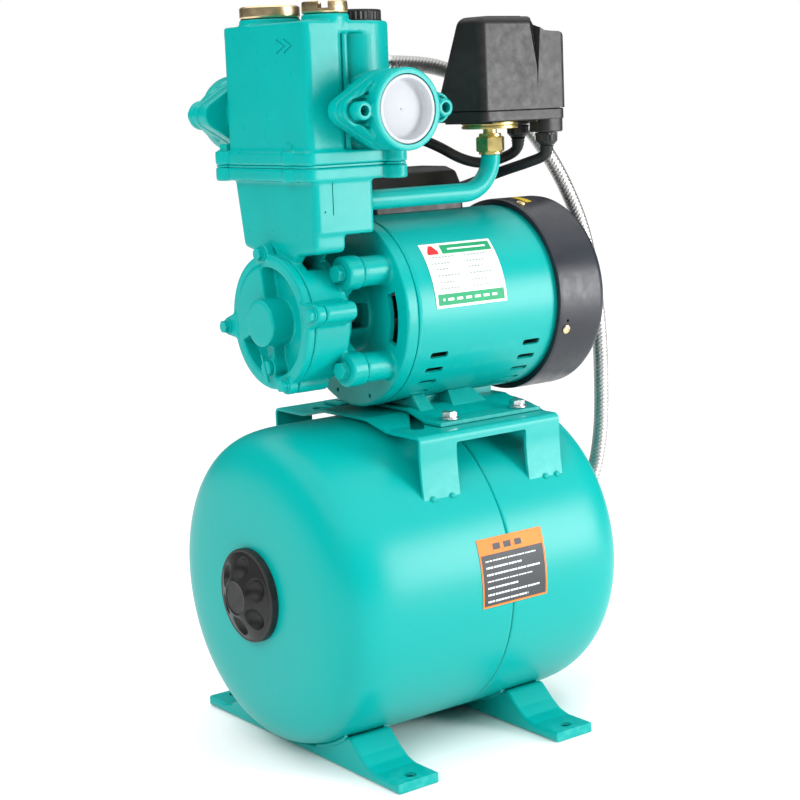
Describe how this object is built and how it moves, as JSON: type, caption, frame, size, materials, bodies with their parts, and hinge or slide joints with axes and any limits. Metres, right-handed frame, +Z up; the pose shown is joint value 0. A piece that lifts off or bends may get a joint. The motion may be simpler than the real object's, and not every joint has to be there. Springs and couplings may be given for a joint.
{
  "type": "automatic water pump set",
  "caption": "Electric centrifugal water pump with priming chamber, pressure switch and braided hose, carried on a horizontal pressure tank with pressed feet.",
  "frame": {"origin": "on the floor under the middle of the set, hose and cables left out", "axes": "+X along the motor shaft from the pump head to the fan cover, +Y away from the discharge port, +Z up"},
  "size_m": [0.3527, 0.2448, 0.528],
  "materials": {
    "teal_paint": "gloss enamel on smooth steel",
    "teal_casting": "gloss enamel on cast iron, slightly rough",
    "black_plastic": "satin",
    "black_gloss": "gloss",
    "port_plastic": "satin",
    "brass": "machined",
    "zinc": "zinc plated",
    "yellow_zinc": "yellow passivated zinc",
    "steel": "ground",
    "lamination": "oxidised",
    "copper": "enamelled wire",
    "aluminium": "die cast",
    "rubber": "matt",
    "ceramic": "lapped",
    "braid": "woven wire"
  },
  "bodies": {
    "base": {"tank_front_shell": "teal_paint", "tank_rear_shell": "teal_paint", "foot_front": "teal_paint", "foot_rear": "teal_paint", "pump_bracket": "teal_paint", "motor_foot": "teal_paint", "motor_shell": "teal_paint", "switch_pipe": "teal_paint", "front_bracket": "teal_casting", "pump_casing": "teal_casting", "pump_cover": "teal_casting", "bracket_bolt_1": "teal_casting", "bracket_bolt_2": "teal_casting", "bracket_bolt_3": "teal_casting", "bracket_bolt_4": "teal_casting", "valve_box": "teal_casting", "outlet_flange": "teal_casting", "inlet_flange": "teal_casting", "tank_valve_cap": "black_plastic", "terminal_box": "black_plastic", "valve_column_cap": "black_plastic", "switch_base": "black_plastic", "switch_cover": "black_plastic", "switch_gland_long": "black_plastic", "switch_gland_short": "black_plastic", "fan_cover": "black_gloss", "outlet_port_plug": "port_plastic", "inlet_port_plug": "port_plastic", "run_capacitor": "port_plastic", "tank_air_valve": "brass", "drain_screw": "brass", "priming_plug": "brass", "gauge_plug": "brass", "tank_flange": "zinc", "foot_bolt_1": "zinc", "foot_bolt_2": "zinc", "foot_bolt_3": "zinc", "foot_bolt_4": "zinc", "hose_nut_upper": "zinc", "hose_nut_lower": "zinc", "pipe_nut": "yellow_zinc", "diaphragm_plate": "yellow_zinc", "bearing_front": "steel", "bearing_rear": "steel", "stator_core": "lamination", "stator_winding": "copper", "rear_end_shield": "aluminium", "tank_bladder": "rubber", "body_gasket": "rubber", "long_cable": "rubber", "short_cable": "rubber", "seal_seat": "ceramic", "braided_hose": "braid"},
    "rotor": {"motor_shaft": "steel", "rotor_core": "aluminium", "cooling_fan": "black_plastic", "impeller": "brass", "seal_rotating_ring": "steel"},
    "check_valve": {"check_valve_poppet": "brass"},
    "pressure_plunger": {"switch_plunger": "brass"}
  },
  "joints": [
    {"name": "rotor_spin", "type": "hinge", "parent": "base", "child": "rotor", "pos_m": [0.00635, 0, 0.3116], "axis": [1, 0, 0], "continuous": true},
    {"name": "check_valve_lift", "type": "slide", "parent": "base", "child": "check_valve", "axis": [0, 0, 1], "range_m": [0, 0.008]},
    {"name": "pressure_plunger_travel", "type": "slide", "parent": "base", "child": "pressure_plunger", "axis": [0, 0, 1], "range_m": [0, 0.002], "stiffness_N_per_m": 400}
  ]
}
